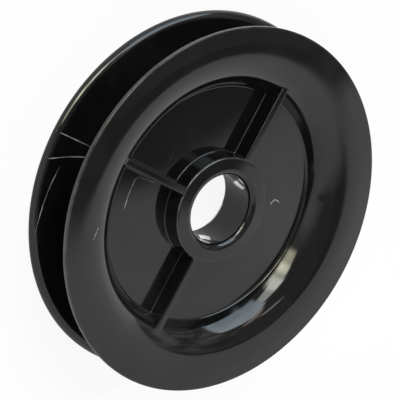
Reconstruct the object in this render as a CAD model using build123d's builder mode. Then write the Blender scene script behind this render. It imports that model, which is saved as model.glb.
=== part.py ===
# Wire rope sheave, moulded in one piece: a pair of flared rims round a rope groove,
# a thin web dished on both sides, and a plain-bored hub held by three ribs a side.
# Millimetres. +Z runs along the axle, and the origin is the middle of the bore.
import os
from math import cos, radians, sin, tan

from build123d import *

# Overall
rim_dia = 130.0  # over both rims
rim_width = 23.0  # from rim face to rim face
wall = 3.0  # thickness of the flanges, between dish and groove
web_thickness = 3.0

# Hub
bore_dia = 25.0
hub_dia = 37.9  # at its end faces
hub_length = 16.5
hub_draft = 2.0  # degrees, the hub is stouter at the web
bore_lead = 0.8  # how much wider the bore's mouth is, on the radius
bore_lead_depth = 1.1

# Flanges, each a bell: a nearly flat band at the rim that turns over into a steep wall
web_dia = 84.8  # flat floor of the dish, up to the foot of the steep wall
wall_lean = 27.0  # degrees between the steep wall and the axle
band_slope = 6.0  # degrees from flat, the band sinks towards the hub
slant_drop = 1.8  # a slant cuts the corner of band and wall, this far down the wall
slant_run = 3.5  # and this far out along the band
brow_share = 0.36  # part of the slant that the turn at the wall takes; the turn at the band has the rest
rope_dia = 8.0
rope_clearance = 0.3  # on the radius of the rope's seat

# How far the bevels run from their corners
hub_edge = 0.5
root_bevel = 0.7  # where the hub and the flanges grow out of the web
rim_edge = 0.45
rim_mouth = 1.6  # leads the rope into the groove

# How many flats a turn of the section has; with none it is a smooth curve
bevel_count = 1
brow_count = 2
mouth_count = 2
smooth_count = 0

# Ribs between the hub and the steep wall
rib_thickness = 2.9  # at the web
rib_draft = 1.0  # degrees on each side
rib_drop = 0.35  # the ribs stop this much below the hub's end face
rib_edge = 0.45
rib_foot = 0.5  # bevel where a rib meets the web
rib_count = 3
rib_spread = 180.0  # degrees from the first rib to the last, so half of the dish is open

# Worked-out sizes
rim_radius = rim_dia / 2
rim_z = rim_width / 2 + rim_edge * sin(radians(band_slope))
web_radius = web_dia / 2
web_z = web_thickness / 2
bore_radius = bore_dia / 2
hub_radius = hub_dia / 2
hub_z = hub_length / 2
hub_root_radius = hub_radius + (hub_z - web_z) * tan(radians(hub_draft))
seat_radius = rope_dia / 2 + rope_clearance
rib_top = hub_z - rib_drop

# Directions along the section, outward from the axle
steep = Vector(sin(radians(wall_lean)), cos(radians(wall_lean)))
flat = Vector(cos(radians(band_slope)), sin(radians(band_slope)))


def meet(start, direction, other, other_direction):
    """Point where two straight lines of the section cross."""
    gap = other - start
    run = (gap.X * other_direction.Y - gap.Y * other_direction.X) / (
        direction.X * other_direction.Y - direction.Y * other_direction.X
    )
    return start + direction * run


def towards(corner, other, distance):
    """Point on the way from one corner of the section to another."""
    return corner + (other - corner).normalized() * distance


# Corners of the dish side of the flange, and the same corners one wall further in
web_corner = Vector(web_radius, web_z)
rim_corner = Vector(rim_radius, rim_z)
bell = meet(web_corner, steep, rim_corner, flat)
brow = towards(bell, web_corner, slant_drop)
shoulder = towards(bell, rim_corner, slant_run)
slant = (shoulder - brow).normalized()
groove_wall = web_corner + Vector(steep.Y, -steep.X) * wall
groove_slant = brow + Vector(slant.Y, -slant.X) * wall
groove_band = rim_corner + Vector(flat.Y, -flat.X) * wall
brow_inner = meet(groove_wall, steep, groove_slant, slant)
shoulder_inner = meet(groove_band, flat, groove_slant, slant)
rim_inner = meet(groove_band, flat, rim_corner, Vector(0, 1))
groove_root = meet(groove_wall, steep, Vector(0, 0), Vector(1, 0))
brow_turn = brow_share * (shoulder - brow).length
shoulder_turn = (1 - brow_share) * (shoulder - brow).length
brow_turn_inner = brow_share * (shoulder_inner - brow_inner).length
shoulder_turn_inner = (1 - brow_share) * (shoulder_inner - brow_inner).length

# One side of the section, from the bore round to the groove: each corner, how far its turn
# reaches to both sides, and the turn's flats
side = [
    (Vector(bore_radius + bore_lead, hub_z), 0, bevel_count),
    (Vector(hub_radius, hub_z), hub_edge, bevel_count),
    (Vector(hub_root_radius, web_z), root_bevel, bevel_count),
    (web_corner, root_bevel, bevel_count),
    (brow, brow_turn, brow_count),
    (shoulder, shoulder_turn, smooth_count),
    (rim_corner, rim_edge, bevel_count),
    (rim_inner, rim_mouth, mouth_count),
    (shoulder_inner, shoulder_turn_inner, bevel_count),
    (brow_inner, brow_turn_inner, bevel_count),
]
bore_end = Vector(bore_radius, hub_z - bore_lead_depth)

# A rib runs from inside the hub to the middle of the steep wall, where its end leans with the wall
rib_reach = web_radius + wall / 2 / cos(radians(wall_lean))
rib_reach_top = rib_reach + (rib_top - web_z) * tan(radians(wall_lean))
rib_start = (bore_radius + hub_radius) / 2
rib_half = rib_thickness / 2
rib_half_top = rib_half - (rib_top - web_z) * tan(radians(rib_draft))
foot_z = web_z + rib_foot
touching = 1e-6  # corners nearer than this are one

with BuildPart() as rib:
    with BuildSketch(Plane.YZ.offset(rib_start)) as rib_section:
        with BuildLine():
            FilletPolyline(
                (0, rib_top),
                (rib_half_top, rib_top),
                (rib_half, foot_z),
                (rib_half + foot_z, 0),
                (rib_half, -foot_z),
                (rib_half_top, -rib_top),
                (0, -rib_top),
                radius=[rib_edge, 0, 0, 0, rib_edge],
            )
            Line((0, -rib_top), (0, rib_top))
        make_face()
        mirror(about=Plane.YZ)
    extrude(amount=rib_reach_top)
    with BuildSketch(Plane.XZ) as rib_end:
        with BuildLine():
            Polyline(
                (0, -rib_top),
                (rib_reach_top, -rib_top),
                (rib_reach, -web_z),
                (rib_reach, web_z),
                (rib_reach_top, rib_top),
                (0, rib_top),
                close=True,
            )
        make_face()
    revolve(axis=Axis.Z, mode=Mode.INTERSECT)

with BuildPart() as sheave_wheel:
    # Hub, web, flanges and rope groove are one turned section, closed on the side without ribs
    with BuildSketch(Plane.YZ) as wheel_section:
        with BuildLine() as outline:
            end = bore_end
            corners = [bore_end] + [corner for corner, reach, flats in side] + [groove_root]
            for last, (corner, reach, flats), following in zip(corners, side, corners[2:]):
                start = towards(corner, last, reach)
                if (start - end).length > touching:
                    Line(end, start)
                end = towards(corner, following, reach)
                if reach:
                    turn = Bezier(start, corner, end, mode=Mode.PRIVATE if flats else Mode.ADD)
                if reach and flats:
                    Polyline(*[turn @ (step / flats) for step in range(flats + 1)])
            mirror(about=Plane.XZ)
            Line(bore_end, Vector(bore_end.X, -bore_end.Y))
            FilletPolyline(end, groove_root, Vector(end.X, -end.Y), radius=seat_radius)
        make_face()
    revolve(axis=Axis.Z)

    # Each rib goes through the web and stands on both of its sides
    with PolarLocations(0, rib_count, 0, -rib_spread, endpoint=True):
        add(rib.part)

sheave_wheel.part.label = "sheave_wheel"

os.makedirs("parts", exist_ok=True)
export_step(sheave_wheel.part, "parts/sheave_wheel.step")
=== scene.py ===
from math import cos, pi, radians, sin, sqrt, tan

import bmesh
import bpy
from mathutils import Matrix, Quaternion, Vector, noise


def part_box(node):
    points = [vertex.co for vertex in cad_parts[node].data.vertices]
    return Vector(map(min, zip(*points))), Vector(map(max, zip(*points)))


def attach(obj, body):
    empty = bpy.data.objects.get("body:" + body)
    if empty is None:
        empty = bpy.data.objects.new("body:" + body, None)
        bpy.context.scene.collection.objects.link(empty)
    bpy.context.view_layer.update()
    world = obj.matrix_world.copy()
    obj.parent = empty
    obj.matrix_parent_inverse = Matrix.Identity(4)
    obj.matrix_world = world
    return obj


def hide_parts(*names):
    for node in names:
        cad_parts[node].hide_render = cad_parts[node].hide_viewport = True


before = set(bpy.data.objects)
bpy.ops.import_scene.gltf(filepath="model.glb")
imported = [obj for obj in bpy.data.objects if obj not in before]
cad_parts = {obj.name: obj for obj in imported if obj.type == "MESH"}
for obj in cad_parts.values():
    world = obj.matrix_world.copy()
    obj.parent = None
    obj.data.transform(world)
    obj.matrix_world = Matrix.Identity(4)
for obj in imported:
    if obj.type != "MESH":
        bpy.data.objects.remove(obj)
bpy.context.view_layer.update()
wheelLow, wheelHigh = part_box("sheave_wheel")
rimRadius = (wheelHigh[0] - wheelLow[0]) / 2
mm = 0.001
print("frame loaded, rim radius", round(rimRadius, 4))

camera = {
    "azimuth": -1.1,       # degrees, 0 looks along +Y
    "elevation": 47.27,
    "roll": 118.6,
    "distance": 9.018,     # in rim radii
    "aim": (0.0061, -0.0337, -0.0310),   # in rim radii, from the middle of the bore
    "lens": 153.97,
}


def placeCamera(view):
    data = bpy.data.cameras.new("camera")
    data.lens = view["lens"]
    data.sensor_width = 36
    cam = bpy.data.objects.new("camera", data)
    bpy.context.scene.collection.objects.link(cam)
    az, el = radians(view["azimuth"]), radians(view["elevation"])
    back = Vector((sin(az) * cos(el), -cos(az) * cos(el), sin(el)))
    cam.rotation_mode = "QUATERNION"
    cam.rotation_quaternion = (-back).to_track_quat("-Z", "Y") @ Quaternion((0, 0, 1), radians(view["roll"]))
    cam.location = (Vector(view["aim"]) + back * view["distance"]) * rimRadius
    data.clip_start, data.clip_end = 0.01, 20
    bpy.context.scene.camera = cam


placeCamera(camera)

wheel = {
    # in millimetres and degrees, one side of it from the bore to the groove
    "boreRadius": 12.5, "boreLead": 1.3, "boreLeadDepth": 1.3,
    "leadFootTurn": (0.9, 0.85), "leadTopTurn": (0.85, 1.1),   # how far each turn reaches, either way
    "hubRadius": 18.95, "hubTop": 8.25, "hubDraft": 2.0, "hubFall": 2.6, "hubEdge": 0.8,
    "webTop": 1.5, "webRadius": 42.4,
    "wall": 3.0, "wallLean": 27.0, "grooveSlope": 0.7,
    "dishLean": 28.0, "bandFall": 2.4,     # the dish face of the wall, and the rim's fall outside its crown
    "crown": 0.24,                         # how far the rim's edge lies below the crown
    "bellDrop": 8.8, "bellRun": 13.0,      # how far the bell's turn reaches from its corner
    "innerDrop": 4.4, "innerRun": 10.0,    # and the same turn on the groove face
    "seatRadius": 4.3,
    "edge": 0.3, "root": 0.6, "mouth": 2.6,
    "edgeBand": 0.9,                       # a ring of points this far inside the edge, where its wear and painted highlight end
    "around": 384,                         # steps round the axle
}


def cross(start, along, other, otherAlong):
    gap = other - start
    run = (gap.x * otherAlong.y - gap.y * otherAlong.x) / (along.x * otherAlong.y - along.y * otherAlong.x)
    return start + along * run


def turned(corners):
    # A line through the corners, each turned over its reach; gives points with their normals
    line = []
    for last, (corner, before, after, steps), following in zip(corners, corners[1:], corners[2:]):
        start = corner + (last[0] - corner).normalized() * before
        end = corner + (following[0] - corner).normalized() * after
        for step in range(steps + 1):
            part = step / steps
            point = start.lerp(corner, part).lerp(corner.lerp(end, part), part)
            along = (corner - start).lerp(end - corner, part).normalized()
            line.append((point, Vector((-along.y, along.x))))
    return line


def wheelSection(sizes):
    steep = Vector((sin(radians(sizes["wallLean"])), cos(radians(sizes["wallLean"]))))
    flat = Vector((cos(radians(sizes["grooveSlope"])), sin(radians(sizes["grooveSlope"]))))
    falling = Vector((cos(radians(sizes["bandFall"])), -sin(radians(sizes["bandFall"]))))
    rim = rimRadius / mm
    rimTop = wheelHigh[2] / mm - sizes["crown"]
    webCorner = Vector((sizes["webRadius"], sizes["webTop"]))
    rimCorner = Vector((rim, rimTop))
    dish = Vector((sin(radians(sizes["dishLean"])), cos(radians(sizes["dishLean"]))))
    bell = cross(webCorner, dish, rimCorner, falling)
    wallLine = webCorner + Vector((steep.y, -steep.x)) * sizes["wall"]
    bandLine = rimCorner + Vector((flat.y, -flat.x)) * sizes["wall"]
    bellInner = cross(wallLine, steep, bandLine, flat)
    rimInner = cross(bandLine, flat, rimCorner, Vector((0, 1)))
    seat = cross(wallLine, steep, Vector((0, 0)), Vector((1, 0)))
    seatReach = sizes["seatRadius"] * tan(radians(sizes["wallLean"]))
    hubRoot = sizes["hubRadius"] + (sizes["hubTop"] - sizes["webTop"]) * tan(radians(sizes["hubDraft"]))
    leadTop = sizes["boreRadius"] + sizes["boreLead"]
    hubShoulder = sizes["hubTop"] - (sizes["hubRadius"] - leadTop) * tan(radians(sizes["hubFall"]))
    leadFoot = sizes["hubTop"] - sizes["boreLeadDepth"]
    upper = [
        (Vector((sizes["boreRadius"], leadFoot)), *sizes["leadFootTurn"], 8),
        (Vector((leadTop, sizes["hubTop"])), *sizes["leadTopTurn"], 12),
        (Vector((sizes["hubRadius"], hubShoulder)), sizes["hubEdge"], sizes["hubEdge"], 8),
        (Vector((hubRoot, sizes["webTop"])), sizes["root"], sizes["root"], 6),
        (webCorner, sizes["root"], sizes["root"], 6),
        (bell, sizes["bellDrop"], sizes["bellRun"], 28),
        (rimCorner - falling * sizes["edgeBand"], 0.1, 0.1, 2),
        (rimCorner, sizes["edge"], sizes["edge"], 8),
        (rimInner, sizes["mouth"], sizes["mouth"], 12),
        (bellInner, sizes["innerRun"], sizes["innerDrop"], 16),
    ]
    lower = [(Vector((point.x, -point.y)), after, before, steps)
             for point, before, after, steps in reversed(upper)]
    loop = upper + [(seat, seatReach, seatReach, 10)] + lower
    return turned([loop[-1]] + loop + [loop[0]])


def meshFrom(name, rings, normals, closed):
    # Rings of points, each joined to the next; closed also joins the last ring to the first
    count = len(rings[0])
    points = [point for ring in rings for point in ring]
    faces = []
    for ring in range(len(rings) if closed else len(rings) - 1):
        here, there = ring * count, (ring + 1) % len(rings) * count
        for step in range(count):
            further = (step + 1) % count
            faces.append((here + step, there + step, there + further, here + further))
    if not closed:
        faces.append(tuple(range(count)))
        faces.append(tuple(reversed(range(len(points) - count, len(points)))))
    mesh = bpy.data.meshes.new(name)
    mesh.from_pydata([tuple(point * mm) for point in points], [], faces)
    facing = bmesh.new()
    facing.from_mesh(mesh)
    bmesh.ops.recalc_face_normals(facing, faces=facing.faces)
    facing.to_mesh(mesh)
    facing.free()
    mesh.shade_smooth()
    mesh.normals_split_custom_set_from_vertices([tuple(normal) for ring in normals for normal in ring])
    piece = bpy.data.objects.new(name, mesh)
    bpy.context.scene.collection.objects.link(piece)
    return piece


def turnedWheel(section, sizes):
    rings, normals = [], []
    for step in range(sizes["around"]):
        angle = 2 * pi * step / sizes["around"]
        c, s = cos(angle), sin(angle)
        rings.append([Vector((point.x * c, point.x * s, point.y)) for point, out in section])
        normals.append([Vector((out.x * c, out.x * s, out.y)) for point, out in section])
    return meshFrom("wheel_body", rings, normals, True)


ribs = {
    "angles": (-180, -90, 0),      # degrees round the axle from +X, none at +Y
    "thickness": 2.9, "draft": 1.0, "drop": 0.35,
    "edge": 0.6, "foot": 0.6, "flare": 0.5,
    "sunk": 0.8,                   # how far the ends run into hub and wall
    "bury": 0.4, "spread": 1.3,    # how deep the foot lies in the web, and its width in foot turns
}


def between(pairs, value, beyond):
    # The second of the pairs where the first reaches the value, or beyond when none does
    for (low, start), (high, end) in zip(pairs, pairs[1:]):
        if low <= value <= high:
            return start + (end - start) * (value - low) / max(high - low, 1e-6)
    return beyond


def dishReach(high, section, sizes):
    # How far from the axle the dish face lies at a height
    face = sorted((point.x, point.y) for point, out in section
                  if point.x > sizes["webRadius"] + 0.5 and point.y > sizes["webTop"] + 0.5 and out.y > 0)
    straight = sizes["webRadius"] + (high - sizes["webTop"]) * tan(radians(sizes["dishLean"]))
    return between([(height, reach) for reach, height in face], high, straight)


def hubReach(high, sizes):
    return sizes["hubRadius"] + (sizes["hubTop"] - high) * tan(radians(sizes["hubDraft"]))


def ribSection(sizes, wheel):
    # Half the rib's outline and its mirror, closed below the web's face
    top, web = wheel["hubTop"] - sizes["drop"], wheel["webTop"]
    footHalf = sizes["thickness"] / 2
    topHalf = footHalf - (top - web) * tan(radians(sizes["draft"]))
    footEnd, under = footHalf + sizes["foot"] * sizes["spread"], web - sizes["bury"]
    half = [(point, -out) for point, out in turned([
        (Vector((footHalf + 3, under)), 0, 0, 1),
        (Vector((footEnd, web - 0.02)), 0.02, 0.02, 1),
        (Vector((footHalf, web)), sizes["foot"], sizes["foot"], 8),
        (Vector((topHalf, top)), sizes["edge"], sizes["edge"], 8),
        (Vector((-topHalf, top)), 0, 0, 1),
    ])]
    mirror = [(Vector((-point.x, point.y)), Vector((-out.x, out.y))) for point, out in reversed(half)]
    return half + mirror + [(Vector((side * footEnd, under)), Vector((0, -1))) for side in (-1, 1)]


def rib(name, angle, side, sizes, wheel, wheelLine):
    # One rib on one side of the web: its section is carried from the hub to the wall
    section = ribSection(sizes, wheel)
    faces = [(hubReach(point.y, wheel), dishReach(point.y, wheelLine, wheel)) for point, out in section]
    rings, normals = [], []
    c, s = cos(radians(angle)), sin(radians(angle))
    flare = sizes["flare"]
    spots = [-sizes["sunk"]] + [flare * (1 - cos(radians(turn))) for turn in range(0, 91, 10)]
    stations = [(0, spot) for spot in spots] + [(1, -spot) for spot in reversed(spots)]
    for end, spot in stations:
        into = 1 - 2 * end      # 1 at the hub, -1 at the wall
        gap = min(max(spot * into, 0), flare)
        wide = flare - sqrt(max(flare ** 2 - (flare - gap) ** 2, 0))
        tilt = (flare - gap) / flare
        tilt = tilt / sqrt(max(1 - tilt ** 2, 0.02))
        ring, ringNormals = [], []
        for (point, out), reaches in zip(section, faces):
            hand = 1 if point.x > 0 else -1
            reach, across = reaches[end] + spot, point.x + wide * hand
            normal = Vector((out.x * hand * tilt * into, out.x, out.y)).normalized()
            ring.append(Vector((reach * c - across * s, reach * s + across * c, point.y * side)))
            facing = (normal.x * c - normal.y * s, normal.x * s + normal.y * c, normal.z * side)
            ringNormals.append(Vector(facing))
        rings.append(ring)
        normals.append(ringNormals)
    return meshFrom(name, rings, normals, False)


beads = {
    # how wide and high, the face it lies on, then its ends and corners:
    # mm from the axle and degrees round it
    # every bead is painted pale all along it: a painted highlight on the raised line, and on the scratch also
    # wear
    "parting_line_0": (0.36, 0.13, "groove", ((49, 271.5), (64.95, 271.5))),
    "parting_line_1": (0.36, 0.13, "groove", ((49, 275), (64.95, 280))),
    "flow_arc": (0.3, 0.08, "groove", ((59, 281), (64, 303))),
    "flow_line": (0.26, 0.09, "web", ((36.5, 294), (35.5, 276.5), (34.5, 274.5), (27, 274.5))),
    "web_mark_0": (0.34, 0.12, "web", ((27, 110.5), (28.5, 114), (30.5, 113.5))),
    "web_mark_1": (0.3, 0.1, "web", ((28.5, 114.5), (31.5, 111.5))),
    "rim_scratch": (0.2, 0.05, "band", ((52.5, 295.5), (54.5, 300))),
}


def flangeHeight(reach, section, front):
    # The height of the front flange's face, or of the rear one's groove face, at a distance from the axle
    face = sorted((point.x, point.y) for point, out in section
                  if out.y > 0.3 and (point.y > 0) == front and point.x > 44)
    return between(face, reach, face[-1][1])


def bead(name, width, high, face, spots, section):
    # A low rounded line laid on a face, tapered at its ends
    path = []
    for (reach, angle), (nextReach, nextAngle) in zip(spots, spots[1:]):
        for step in range(16):
            part = step / 16
            path.append((reach + (nextReach - reach) * part, radians(angle + (nextAngle - angle) * part)))
    path.append((spots[-1][0], radians(spots[-1][1])))
    middle = [Vector((reach * cos(angle), reach * sin(angle), 0)) for reach, angle in path]
    rings, normals = [], []
    for index, ((reach, angle), spot) in enumerate(zip(path, middle)):
        along = (middle[min(index + 1, len(middle) - 1)] - middle[max(index - 1, 0)]).normalized()
        across = Vector((-along.y, along.x, 0))
        level = wheel["webTop"] if face == "web" else flangeHeight(reach, section, face == "band")
        taper = min(1, 0.25 + 0.75 * min(index, len(path) - 1 - index) / 3)
        ring, ringNormals = [], []
        for step in range(9):
            turn = radians(-20 + 220 * step / 8)
            rise = sin(turn) * high * taper
            ring.append(spot + across * (cos(turn) * width / 2 * taper) + Vector((0, 0, level + rise - 0.01)))
            ringNormals.append((across * cos(turn) + Vector((0, 0, sin(turn)))).normalized())
        rings.append(ring)
        normals.append(ringNormals)
    return meshFrom(name, rings, normals, False)


wheelLine = wheelSection(wheel)
pieces = [turnedWheel(wheelLine, wheel)]
for index, angle in enumerate(ribs["angles"]):
    for side, where in ((1, "front"), (-1, "rear")):
        pieces.append(rib(f"rib_{index}_{where}", angle, side, ribs, wheel, wheelLine))
for name, (width, high, face, spots) in beads.items():
    pieces.append(bead(name, width, high, face, spots, wheelLine))
print("wheel meshed", sum(len(piece.data.polygons) for piece in pieces))

plastic = {
    # the pale colour below is wear, and also painted highlight on the edges and the beads
    "colour": (0.0045, 0.0045, 0.0047), "dusty": (0.02, 0.021, 0.02), "wornAndHighlit": (0.5, 0.5, 0.46),
    "roughness": (0.045, 0.12), "wornRoughness": 0.38,
    "ior": 1.5,
    "waves": (110, 0.000009),      # noise scale a metre, and how deep in metres
    "grain": (1500, 0.0000004),
    "boreFlow": (380, 0.00003),
    "speckScale": 900,
    "scratchScale": 260,
    "scratchDepth": 0.000001,
    "cloudScale": 38,
    "wearScale": 160,
    "boreBand": (12.6, 13.4),      # mm from the axle, where the bore's flow marks fade out
    "flangeBand": (43, 50),        # and where the waves of the flanges fade in
}


def added(tree, kind, **values):
    node = tree.nodes.new(kind)
    for name, value in values.items():
        if hasattr(node, name):
            setattr(node, name, value)
        else:
            node.inputs[name.replace("_", " ")].default_value = value
    return node


def ranged(tree, source, low, high, start, end):
    # The source from low to high, as start to end, held beyond them
    node = added(tree, "ShaderNodeMapRange")
    for name, value in (("From Min", low), ("From Max", high), ("To Min", start), ("To Max", end)):
        node.inputs[name].default_value = value
    tree.links.new(source, node.inputs["Value"])
    return node.outputs["Result"]


def combined(tree, operation, one, other):
    node = added(tree, "ShaderNodeMath", operation=operation)
    for socket, source in zip(node.inputs, (one, other)):
        if isinstance(source, float):
            socket.default_value = source
        else:
            tree.links.new(source, socket)
    return node.outputs[0]


def noiseOf(tree, where, scale, detail, stretch=(1, 1, 1)):
    place = added(tree, "ShaderNodeMapping")
    place.inputs["Scale"].default_value = stretch
    tree.links.new(where, place.inputs["Vector"])
    node = added(tree, "ShaderNodeTexNoise", Scale=scale, Detail=detail, Roughness=0.55)
    tree.links.new(place.outputs["Vector"], node.inputs["Vector"])
    return node.outputs["Fac"]


def bumped(tree, height, depth, before):
    node = added(tree, "ShaderNodeBump", Strength=1.0, Distance=depth)
    tree.links.new(height, node.inputs["Height"])
    if before:
        tree.links.new(before, node.inputs["Normal"])
    return node.outputs["Normal"]


def blackPlastic(look):
    mat = bpy.data.materials.new("wheel_black_plastic")
    mat.use_nodes = True
    tree = mat.node_tree
    shader = tree.nodes["Principled BSDF"]
    where = tree.nodes.new("ShaderNodeTexCoord").outputs["Object"]
    apart = tree.nodes.new("ShaderNodeSeparateXYZ")
    tree.links.new(where, apart.inputs["Vector"])
    flat = tree.nodes.new("ShaderNodeCombineXYZ")
    tree.links.new(apart.outputs["X"], flat.inputs["X"])
    tree.links.new(apart.outputs["Y"], flat.inputs["Y"])
    reach = added(tree, "ShaderNodeVectorMath", operation="LENGTH")
    tree.links.new(flat.outputs["Vector"], reach.inputs[0])
    inBore = ranged(tree, reach.outputs["Value"], *(edge * mm for edge in look["boreBand"]), 1.0, 0.0)
    onFlange = ranged(tree, reach.outputs["Value"], *(edge * mm for edge in look["flangeBand"]), 0.25, 1.0)

    waves = noiseOf(tree, where, look["waves"][0], 3)
    grain = noiseOf(tree, where, look["grain"][0], 2)
    flow = noiseOf(tree, where, look["boreFlow"][0], 4, (1, 1, 0.25))
    specks = ranged(tree, noiseOf(tree, where, look["speckScale"], 2), 0.74, 0.78, 0.0, 1.0)
    scratches = noiseOf(tree, where, look["scratchScale"], 3, (0.12, 1.6, 1))
    scratched = ranged(tree, scratches, 0.69, 0.71, 0.0, 1.0)
    cloud = noiseOf(tree, where, look["cloudScale"], 4)
    # where the wear attribute is set, the plastic is painted pale: wear, and painted highlight on edges
    # facing the camera and along the beads
    wearAndHighlight = added(tree, "ShaderNodeAttribute", attribute_name="wearAndHighlight").outputs["Fac"]
    patchy = ranged(tree, noiseOf(tree, where, look["wearScale"], 4), 0.4, 0.62, 0.25, 1.0)
    wornAndHighlit = combined(tree, "MULTIPLY", wearAndHighlight, patchy)

    normal = bumped(tree, combined(tree, "MULTIPLY", waves, onFlange), look["waves"][1], None)
    normal = bumped(tree, grain, look["grain"][1], normal)
    normal = bumped(tree, combined(tree, "MULTIPLY", flow, inBore), look["boreFlow"][1], normal)
    normal = bumped(tree, scratched, look["scratchDepth"], normal)
    tree.links.new(normal, shader.inputs["Normal"])

    hazy = ranged(tree, cloud, 0.5, 0.75, 0.0, 0.35)
    dust = combined(tree, "MAXIMUM", combined(tree, "MULTIPLY", specks, 0.8), hazy)
    dusty = added(tree, "ShaderNodeMix", data_type="RGBA")
    dusty.inputs["A"].default_value = (*look["colour"], 1)
    dusty.inputs["B"].default_value = (*look["dusty"], 1)
    tree.links.new(dust, dusty.inputs["Factor"])
    paler = added(tree, "ShaderNodeMix", data_type="RGBA")
    paler.inputs["B"].default_value = (*look["wornAndHighlit"], 1)
    tree.links.new(dusty.outputs["Result"], paler.inputs["A"])
    tree.links.new(wornAndHighlit, paler.inputs["Factor"])
    tree.links.new(paler.outputs["Result"], shader.inputs["Base Color"])

    low, high = look["roughness"]
    rough = ranged(tree, cloud, 0.35, 0.7, low, high)
    rough = combined(tree, "ADD", rough, combined(tree, "MULTIPLY", scratched, 0.12))
    rough = combined(tree, "MAXIMUM", rough, combined(tree, "MULTIPLY", wornAndHighlit, look["wornRoughness"]))
    tree.links.new(rough, shader.inputs["Roughness"])
    shader.inputs["IOR"].default_value = look["ior"]
    return mat


wearAndHighlight = {
    # how pale each edge is painted: a little everywhere on it, as wear, and much more towards -Y, the
    # camera's side, as painted highlight
    "rim": (0.05, 0.14), "hub": (0.05, 0.25),
    # how pale the beads are painted: a painted highlight along them
    "grooveLines": 1.0, "otherLines": 0.9,
}


# Paints the rim and hub edges pale: wear all round, and a painted highlight on the side that faces the camera
def wearAndHighlightOnEdges(piece, sizes):
    rim, hub, shoulder = rimRadius / mm, sizes["hubRadius"], wheelHigh[2] / mm
    layer = piece.data.attributes.new("wearAndHighlight", "FLOAT", "POINT")
    for spot, vertex in zip(layer.data, piece.data.vertices):
        x, y, z = (value / mm for value in vertex.co)
        reach = sqrt(x * x + y * y)
        # 1 on the -Y side, which faces the camera, and 0 on the +Y side: it sets the painted highlight
        near = (0.5 - 0.5 * y / max(reach, 1)) ** 2
        onRim = max(0, 1 - abs(reach - rim + 0.12) / 0.3) * (abs(z) > shoulder - 0.7)
        onHub = max(0, 1 - abs(reach - hub + 0.15) / 0.35) * (abs(z) > sizes["hubTop"] - 0.8)
        rimWearAndHighlight = onRim * (wearAndHighlight["rim"][0] + wearAndHighlight["rim"][1] * near)
        hubWearAndHighlight = onHub * (wearAndHighlight["hub"][0] + wearAndHighlight["hub"][1] * near)
        spot.value = min(1, rimWearAndHighlight + hubWearAndHighlight)


# Paints the whole bead pale: a painted highlight along it, and on the scratch also wear
def wearAndHighlightOnLine(piece):
    layer = piece.data.attributes.new("wearAndHighlight", "FLOAT", "POINT")
    inGroove = beads[piece.name][2] == "groove"
    for spot in layer.data:
        spot.value = wearAndHighlight["grooveLines"] if inGroove else wearAndHighlight["otherLines"]


wearAndHighlightOnEdges(pieces[0], wheel)
for piece in pieces:
    if piece.name in beads:
        wearAndHighlightOnLine(piece)
mat = blackPlastic(plastic)
for piece in pieces:
    piece.data.materials.append(mat)
    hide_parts("sheave_wheel")
    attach(piece, "root")
print("black plastic on", len(pieces), "pieces")

paper = {
    "towards": 36.6,       # degrees round the axle from +X, square to the card
    "distance": 1.03,      # in rim radii, so it nearly touches the rims
    "left": -5.5, "right": 6.5, "top": 4.6,
    "steps": (72, 46),
    "strength": 0.95, "dim": 0.15,
    "fullTop": 2.3,        # its light fades out above this
    "rise": 0.41,          # the fading edge climbs to the right
    "nearBoost": 0.2,      # extra light low down on the right, where it stands by the wheel
    "shade": 0.3,          # the wheel's own shade reaches this high at the foot of the card
}

room = {
    "radius": 2.5,                  # metres
    "steps": (288, 84), "low": -4,  # cells round and up, and where it begins, in degrees
    "grey": 0.24,
    "farGlow": 0.8,                 # the pale side of the room, low down towards -Y
    "nearGlow": 0.5,                # and what stands about on the +X and -X sides
}

windows = {
    # azimuths, then the foot and the top, each at those two ends, the bow of the top, colours low and high
    "blue": {"from": 172, "to": 217, "foot": (-6, 4), "top": (37, 43), "bow": 9, "soft": 1.6,
             "low": (1.9, 2.5, 3.0), "high": (3.7, 4.2, 4.5)},
    "white": {"from": 217.5, "to": 243, "foot": (19, 8), "top": (37, 41), "bow": 0, "soft": 2.2,
              "low": (4.2, 4.4, 4.1), "high": (5.2, 5.4, 5.0)},
    "bright": {"from": 231, "to": 256, "foot": (11, -4), "top": (40, 33), "bow": 1, "soft": 2.6,
               "low": (6.6, 6.5, 5.3), "high": (4.6, 4.6, 3.9)},
    "cream": {"from": 248, "to": 268, "foot": (-6, -6), "top": (34, 25), "bow": 0, "soft": 3.0,
              "low": (7.2, 6.9, 5.0), "high": (5.2, 4.9, 3.7)},
    "streak": {"from": 188, "to": 203, "foot": (59, 66), "top": (64, 73), "bow": 0, "soft": 1.6,
               "low": (3.2, 3.1, 2.8), "high": (3.6, 3.5, 3.1)},
    "sill": {"from": 178, "to": 210, "foot": (52, 47), "top": (54, 49.5), "bow": 5, "soft": 0.8,
             "low": (2.4, 2.0, 1.8), "high": (2.4, 2.0, 1.8)},
}

studio = {
    "ambient": 0.3,          # the world's light on the matt parts
    "boreLight": 4.0, "boreStrip": ((-0.02, 0.07), (0.16, 0.2)),    # in rim radii
    "floorSide": 6.0,
    "floorColour": (0.9, 0.9, 0.9), "floorRoughness": 0.9,
    "floorShare": 0.1,       # part of the floor's tone that takes the object's shadow
    "floorMirrored": 0.12,   # how bright the gloss shows it, in the wheel's shade
    # how bright the glowing disc under the bore is: a painted reflection in the bore's wall
    "glowBelowBore": 0.68,
}

lamps = {
    # degrees round the axle, degrees up, metres away, how wide, how strong
    "key": (215, 42, 0.9, 0.6, 7.0),
    "fill": (20, 60, 0.9, 0.8, 1.2),
}


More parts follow.
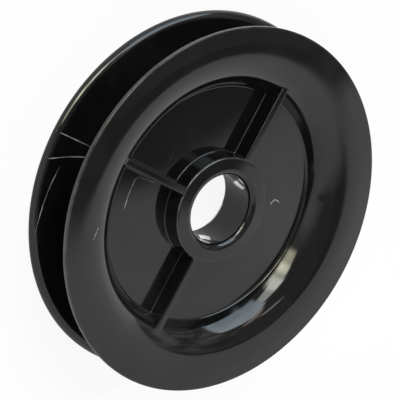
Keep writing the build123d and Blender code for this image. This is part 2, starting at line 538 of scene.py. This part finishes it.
def emission(name):
    mat = bpy.data.materials.new(name)
    mat.use_nodes = True
    tree = mat.node_tree
    tree.nodes.clear()
    out = tree.nodes.new("ShaderNodeOutputMaterial")
    glow = tree.nodes.new("ShaderNodeEmission")
    tree.links.new(glow.outputs["Emission"], out.inputs["Surface"])
    return mat, tree, glow


def stagePiece(name, points, faces, mat):
    mesh = bpy.data.meshes.new(name)
    mesh.from_pydata(points, [], faces)
    mesh.materials.append(mat)
    piece = bpy.data.objects.new(name, mesh)
    bpy.context.scene.collection.objects.link(piece)
    return piece


def hideFrom(thing, *kinds):
    # Which kinds of ray pass it by
    for kind in kinds:
        setattr(thing, "visible_" + kind, False)


def direction(az, el):
    az, el = radians(az), radians(el)
    return Vector((cos(az) * cos(el), sin(az) * cos(el), sin(el)))


def fade(value, start, end):
    # Rises smoothly from 0 to 1
    part = min(max((value - start) / (end - start), 0), 1)
    return part * part * (3 - 2 * part)


def paperLight(u, h, card):
    # How bright the card is at a place on it: across, and above the middle of the wheel
    edge = card["fullTop"] + card["rise"] * max(u - 1.25, 0)
    soft = 0.1 + 0.6 * min(max(1.2 - u, 0), 1.6)
    lit = 1 - fade(h, edge - 0.15 - soft * 0.35, edge + 0.12 + soft)
    near = card["nearBoost"] * fade(u, 0.9, 1.7) * (1 - fade(h, 0.9, 2.3))
    shade = fade(u, 1.3, 1.9) * (1 - fade(h, card["shade"] - 0.3, card["shade"]))
    dim = card["dim"] + 0.12 * (1 - fade(u, -0.5, 1))
    left = 1 - 0.14 * (1 - fade(u, -0.4, 0.6)) * (1 - fade(h, 0.4, 1.4))
    return dim + (card["strength"] * left + near - dim) * lit * (1 - 0.5 * shade)


def paperCard(card):
    mat, tree, glow = emission("paper_light")
    light = added(tree, "ShaderNodeAttribute", attribute_name="light")
    tree.links.new(light.outputs["Fac"], glow.inputs["Strength"])
    out = Vector((cos(radians(card["towards"])), sin(radians(card["towards"])), 0))
    across = Vector((-out.y, out.x, 0))
    foot = wheelLow[2] / rimRadius
    wide, high = card["steps"]
    left, right, top = card["left"], card["right"], card["top"]
    spots = [(left + (right - left) * i / wide, foot + (top - foot) * j / high)
             for j in range(high + 1) for i in range(wide + 1)]
    points = [(out * card["distance"] + across * u + Vector((0, 0, h))) * rimRadius for u, h in spots]
    row = wide + 1
    faces = [(k, k + 1, k + row + 1, k + row)
             for j in range(high) for k in range(j * row, j * row + wide)]
    piece = stagePiece("paper_card", points, faces, mat)
    layer = piece.data.attributes.new("light", "FLOAT", "POINT")
    for spot, (u, h) in zip(layer.data, spots):
        spot.value = paperLight(u, h, card)
    hideFrom(piece, "camera", "shadow")


def windowLight(az, el, window):
    start, end, soft = window["from"], window["to"], window["soft"]
    place = min(max((az - start) / (end - start), 0), 1)
    (footStart, footEnd), (topStart, topEnd) = window["foot"], window["top"]
    foot = footStart + (footEnd - footStart) * place
    top = topStart + (topEnd - topStart) * place + window["bow"] * 4 * place * (1 - place)
    lit = fade(az, start - soft, start + soft) * (1 - fade(az, end - soft, end + soft))
    lit *= fade(el, foot - soft, foot + soft) * (1 - fade(el, top - soft, top + soft))
    part = min(max(el / 40, 0), 1)
    return Vector(window["low"]).lerp(Vector(window["high"]), part) * lit


def roomLight(az, el, dome):
    # What the gloss shows in a direction: the windows, the pale far side, and dim uneven things elsewhere
    out = direction(az, el)
    uneven = noise.fractal(out * 7, 1.0, 2.0, 4)
    finer = noise.fractal(out * 22 + Vector((3, 1, 7)), 1.0, 2.0, 3)
    far = fade(az, 262, 300) * (1 - fade(az, 345, 372)) * (1 - fade(el, 12, 62))
    near = max(fade(az, 100, 132) * (1 - fade(az, 166, 182)), fade(az, 345, 372) + 1 - fade(az, 12, 60))
    near *= 1 - fade(el, 38, 66)
    light = dome["grey"] * (1 + 0.25 * uneven) + dome["farGlow"] * far * (1 + 0.15 * uneven)
    light += dome["nearGlow"] * near * min(max(0.5 + 1.1 * uneven + 0.6 * finer, 0), 1.6)
    colour = Vector((1, 1, 0.97)) * light
    for window in windows.values():
        colour += windowLight(az, el, window) * (1 + 0.12 * uneven + 0.06 * finer)
    return colour


def roomDome(dome):
    # A dome that only the gloss shows
    mat, tree, glow = emission("room_light")
    light = added(tree, "ShaderNodeAttribute", attribute_name="light")
    tree.links.new(light.outputs["Color"], glow.inputs["Color"])
    around, up = dome["steps"]
    spots = [(360 * i / around, dome["low"] + (90 - dome["low"]) * j / up)
             for j in range(up + 1) for i in range(around)]
    points = [direction(az, el) * dome["radius"] for az, el in spots]
    faces = []
    for j in range(up):
        here, there = j * around, (j + 1) * around
        for i in range(around):
            following = (i + 1) % around
            faces.append((here + i, there + i, there + following, here + following))
    shell = stagePiece("room", points, faces, mat)
    layer = shell.data.attributes.new("light", "FLOAT_COLOR", "POINT")
    for spot, (az, el) in zip(layer.data, spots):
        spot.color = (*roomLight(az, el, dome), 1)
    hideFrom(shell, "camera", "diffuse", "shadow", "transmission")


def boreGlow(light):
    # Glowing patches on the floor below the bore, seen only in the gloss: a painted reflection of pale floor,
    # and of a brighter strip, in the bore's wall
    (left, right), (low, high) = light["boreStrip"]
    disc = wheel["boreRadius"] * mm / rimRadius
    ring = [(disc * cos(radians(angle)), disc * sin(radians(angle))) for angle in range(0, 360, 10)]
    strip = [(left, low), (right, low), (right, high), (left, high)]
    for name, spots, lift, strength in (("glow_below_bore", ring, 0.02, light["glowBelowBore"]),
                                        ("bore_light", strip, 0.04, light["boreLight"])):
        mat, tree, glow = emission(name)
        glow.inputs["Strength"].default_value = strength
        points = [(x * rimRadius, y * rimRadius, wheelLow[2] + lift * mm) for x, y in spots]
        card = stagePiece(name, points, [tuple(range(len(points)))], mat)
        hideFrom(card, "camera", "diffuse", "shadow")


def softLamp(name, towards, up, distance, size, power):
    # Plain soft light for the matt parts and the floor's shadow; the gloss doesn't show it
    light = bpy.data.lights.new(name, "AREA")
    light.size = size
    light.energy = power
    lamp = bpy.data.objects.new(name, light)
    out = direction(towards, up)
    lamp.location = out * distance
    lamp.rotation_mode = "QUATERNION"
    lamp.rotation_quaternion = (-out).to_track_quat("-Z", "Y")
    bpy.context.scene.collection.objects.link(lamp)
    hideFrom(lamp, "camera", "glossy")


def blended(tree, factor, one, other):
    node = tree.nodes.new("ShaderNodeMixShader")
    for socket, source in zip(node.inputs, (factor, one, other)):
        tree.links.new(source, socket)
    return node.outputs[0]


def paleFloor(light):
    mat = bpy.data.materials.new("pale_floor")
    mat.use_nodes = True
    tree = mat.node_tree
    shade = tree.nodes["Principled BSDF"]
    shade.inputs["Base Color"].default_value = (*light["floorColour"], 1)
    shade.inputs["Roughness"].default_value = light["floorRoughness"]
    shade.inputs["Specular IOR Level"].default_value = 0.0
    glow = added(tree, "ShaderNodeEmission", Strength=1.0)
    rays = tree.nodes.new("ShaderNodeLightPath").outputs
    mirrored = combined(tree, "MAXIMUM", rays["Is Glossy Ray"], rays["Is Transmission Ray"])
    mirrored = combined(tree, "MULTIPLY", mirrored, light["floorMirrored"])
    seen = combined(tree, "MAXIMUM", rays["Is Camera Ray"], mirrored)
    share = combined(tree, "MULTIPLY", seen, 1 - light["floorShare"])
    tree.links.new(blended(tree, share, shade.outputs["BSDF"], glow.outputs["Emission"]),
                   tree.nodes["Material Output"].inputs["Surface"])
    side, low = light["floorSide"], wheelLow[2]
    corners = [(-side, -side, low), (side, -side, low), (side, side, low), (-side, side, low)]
    stagePiece("floor", corners, [(0, 1, 2, 3)], mat)


def surroundings(light):
    world = bpy.data.worlds.new("studio")
    bpy.context.scene.world = world
    world.use_nodes = True
    tree = world.node_tree
    dim = tree.nodes["Background"]
    dim.inputs["Color"].default_value = (1, 1, 1, 1)
    dim.inputs["Strength"].default_value = light["ambient"]
    white = added(tree, "ShaderNodeBackground", Color=(1, 1, 1, 1))
    rays = tree.nodes.new("ShaderNodeLightPath").outputs
    mirrored = combined(tree, "MAXIMUM", rays["Is Glossy Ray"], rays["Is Transmission Ray"])
    seen = combined(tree, "MAXIMUM", rays["Is Camera Ray"], mirrored)
    tree.links.new(blended(tree, seen, dim.outputs[0], white.outputs[0]),
                   tree.nodes["World Output"].inputs["Surface"])


paperCard(paper)
roomDome(room)
boreGlow(studio)
for name, values in lamps.items():
    softLamp(name, *values)
paleFloor(studio)
surroundings(studio)
print("studio lit, with", len(windows), "windows in the room")

bpy.context.scene.view_settings.view_transform = "Standard"
